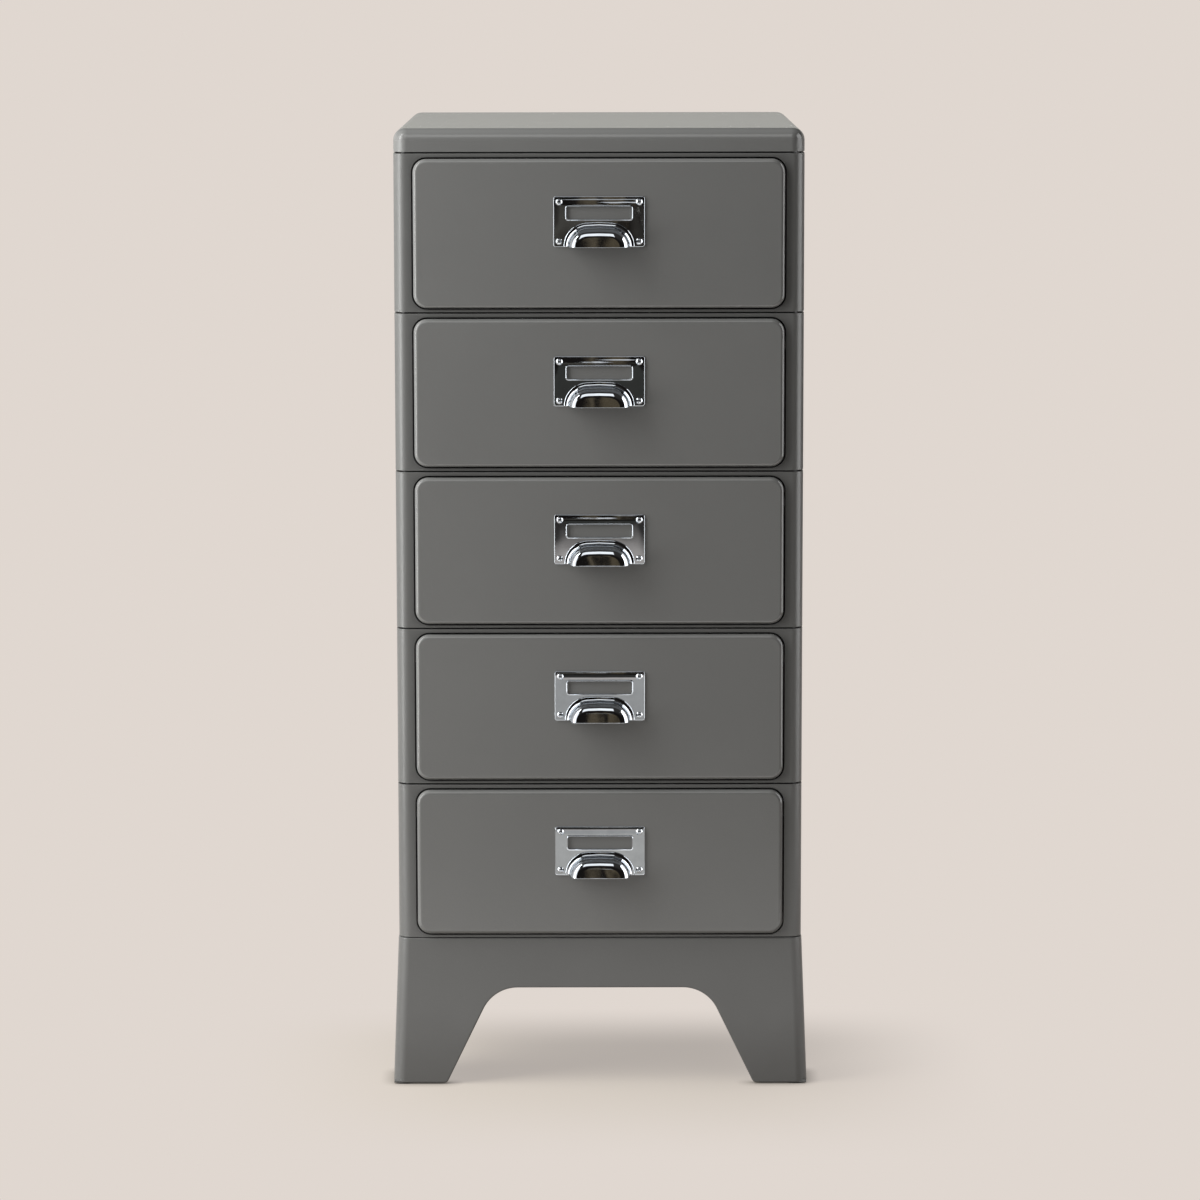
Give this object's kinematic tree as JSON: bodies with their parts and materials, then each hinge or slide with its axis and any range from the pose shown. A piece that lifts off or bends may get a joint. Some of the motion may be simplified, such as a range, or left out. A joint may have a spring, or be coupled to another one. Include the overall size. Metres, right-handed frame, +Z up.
{
  "type": "drawer cabinet",
  "caption": "Narrow free-standing steel drawer cabinet: stacked drawer housings with sliding drawers and chromed cup pulls, a pressed top cover and a splayed leg base.",
  "frame": {"origin": "on the floor, below the middle of the whole cabinet's box, pulls included", "axes": "+Z up from the floor to the top cover, -Y out of the drawer fronts, +X to the right as seen from the front"},
  "size_m": [0.3814, 0.4402, 0.8772],
  "materials": {
    "paint": "satin powder coat",
    "chrome": "polished",
    "zinc": "zinc plated",
    "nylon": "matte",
    "dark_nylon": "matte"
  },
  "bodies": {
    "cabinet": {"top_cover": "paint", "leg_base": "paint", "foot_glides": "dark_nylon", "stack_bolts": "zinc", "stack_nuts": "zinc", "runner_pads": "nylon", "housing_1": "paint", "back_panel_1": "paint", "runner_left_1": "zinc", "runner_right_1": "zinc", "housing_2": "paint", "back_panel_2": "paint", "runner_left_2": "zinc", "runner_right_2": "zinc", "housing_3": "paint", "back_panel_3": "paint", "runner_left_3": "zinc", "runner_right_3": "zinc", "housing_4": "paint", "back_panel_4": "paint", "runner_left_4": "zinc", "runner_right_4": "zinc", "housing_5": "paint", "back_panel_5": "paint", "runner_left_5": "zinc", "runner_right_5": "zinc"},
    "drawer_1": {"drawer_front_1": "paint", "drawer_tray_1": "paint", "drawer_glides_1": "nylon", "pull_plate_1": "chrome", "cup_pull_1": "chrome", "pull_screws_1": "chrome"},
    "drawer_2": {"drawer_front_2": "paint", "drawer_tray_2": "paint", "drawer_glides_2": "nylon", "pull_plate_2": "chrome", "cup_pull_2": "chrome", "pull_screws_2": "chrome"},
    "drawer_3": {"drawer_front_3": "paint", "drawer_tray_3": "paint", "drawer_glides_3": "nylon", "pull_plate_3": "chrome", "cup_pull_3": "chrome", "pull_screws_3": "chrome"},
    "drawer_4": {"drawer_front_4": "paint", "drawer_tray_4": "paint", "drawer_glides_4": "nylon", "pull_plate_4": "chrome", "cup_pull_4": "chrome", "pull_screws_4": "chrome"},
    "drawer_5": {"drawer_front_5": "paint", "drawer_tray_5": "paint", "drawer_glides_5": "nylon", "pull_plate_5": "chrome", "cup_pull_5": "chrome", "pull_screws_5": "chrome"}
  },
  "joints": [
    {"name": "drawer_1_slide", "type": "slide", "parent": "cabinet", "child": "drawer_1", "axis": [0, -1, 0], "range_m": [0, 0.29]},
    {"name": "drawer_2_slide", "type": "slide", "parent": "cabinet", "child": "drawer_2", "axis": [0, -1, 0], "range_m": [0, 0.29]},
    {"name": "drawer_3_slide", "type": "slide", "parent": "cabinet", "child": "drawer_3", "axis": [0, -1, 0], "range_m": [0, 0.29]},
    {"name": "drawer_4_slide", "type": "slide", "parent": "cabinet", "child": "drawer_4", "axis": [0, -1, 0], "range_m": [0, 0.29]},
    {"name": "drawer_5_slide", "type": "slide", "parent": "cabinet", "child": "drawer_5", "axis": [0, -1, 0], "range_m": [0, 0.29]}
  ]
}
